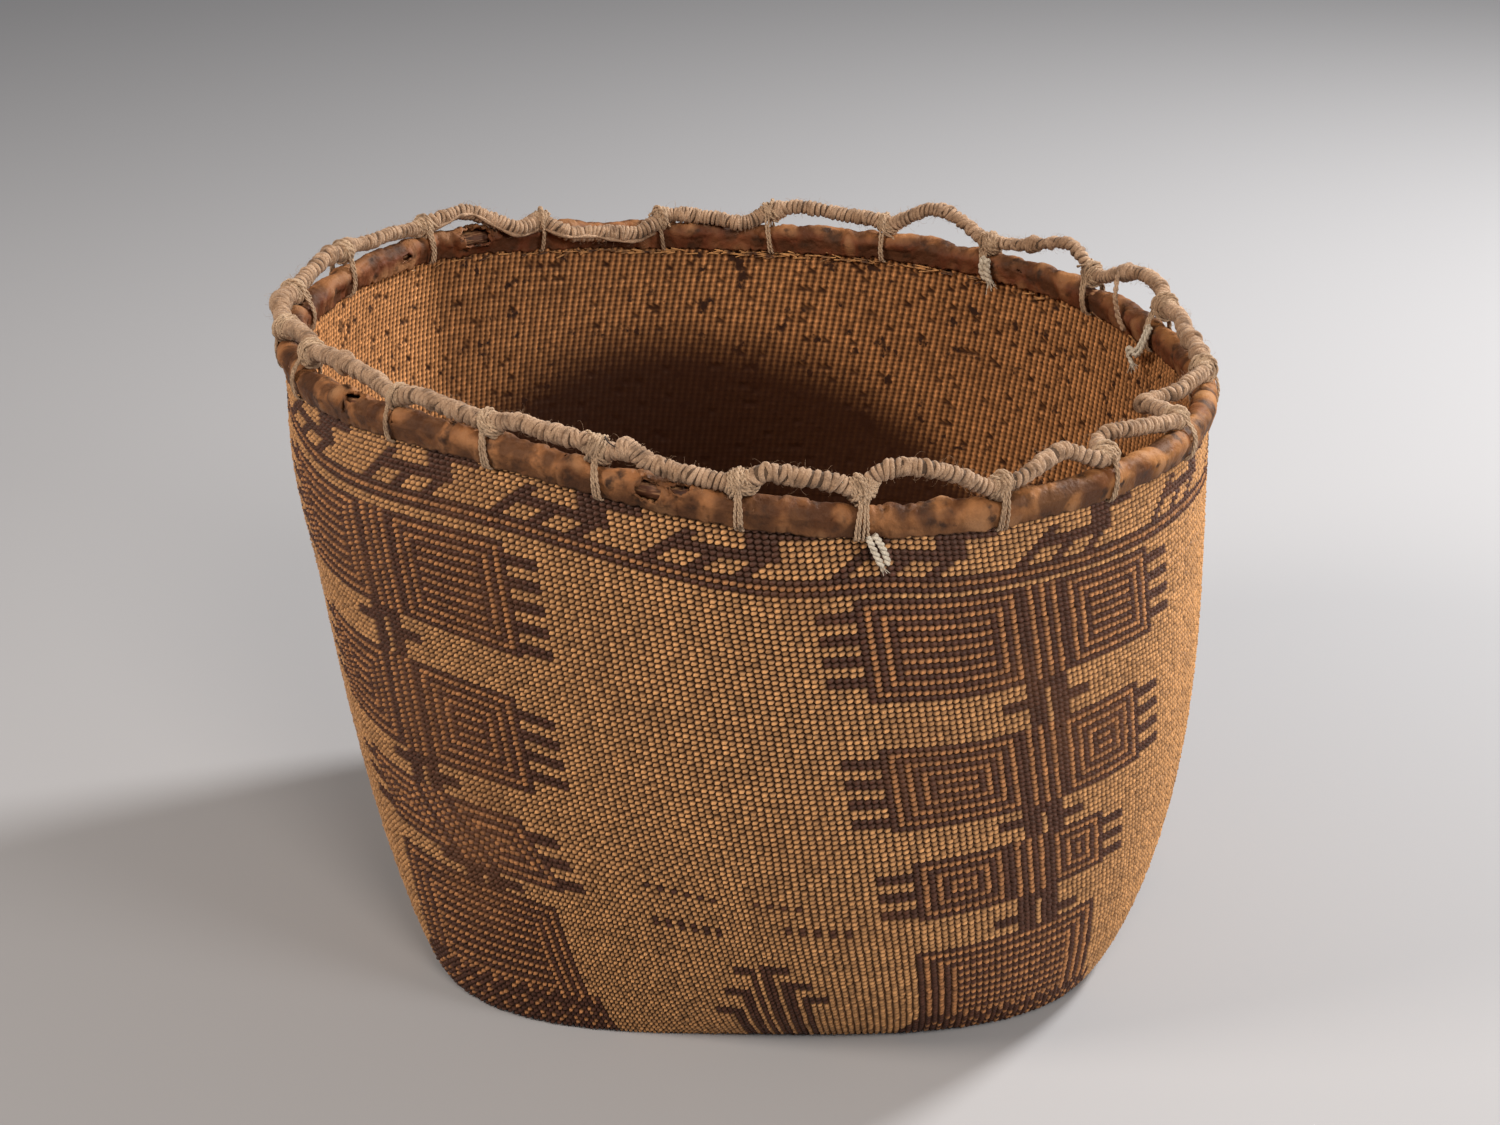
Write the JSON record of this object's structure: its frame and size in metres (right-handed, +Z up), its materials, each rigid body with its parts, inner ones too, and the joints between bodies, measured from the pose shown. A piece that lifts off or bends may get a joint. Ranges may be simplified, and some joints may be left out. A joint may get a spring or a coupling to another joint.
{
  "type": "storage basket",
  "caption": "Deep twined basket, wide open mouth, flat base; hide-bound rim with a scalloped wrapped cord lashed on top.",
  "frame": {"origin": "centre of the object's box in plan, on the surface that the base rests on", "axes": "+X along the mouth's longer side, +Z up out of the mouth"},
  "size_m": [0.3836, 0.3745, 0.2696],
  "materials": {
    "straw": "twined golden straw with dark brown and rust pattern stitches, matt with a slight stem sheen",
    "wood": "dark bent rod, unfinished",
    "hide": "dried brown hide, wrinkled, slightly glossy, redder inside",
    "wrapped_cord": "grey-beige string wrapped turn on turn, fuzzy",
    "string": "grey-beige two-ply string, fuzzy",
    "cotton": "off-white twisted cotton"
  },
  "bodies": {
    "root": {"woven_body": "straw", "rim_hoop": "wood", "hide_strip_01": "hide", "hide_strip_02": "hide", "hide_strip_03": "hide", "loop_cord": "wrapped_cord", "lashing_01": "string", "lashing_02": "string", "lashing_03": "string", "lashing_04": "string", "lashing_05": "string", "lashing_06": "string", "lashing_07": "string", "lashing_08": "string", "lashing_09": "string", "lashing_10": "string", "lashing_11": "string", "lashing_12": "string", "lashing_13": "string", "lashing_14": "string", "lashing_15": "string", "lashing_16": "string", "lashing_17": "string", "lashing_18": "string", "lashing_19": "string", "lashing_20": "string", "lashing_21": "string", "tail_front": "cotton", "tail_back": "cotton", "tail_right": "cotton"}
  },
  "joints": []
}
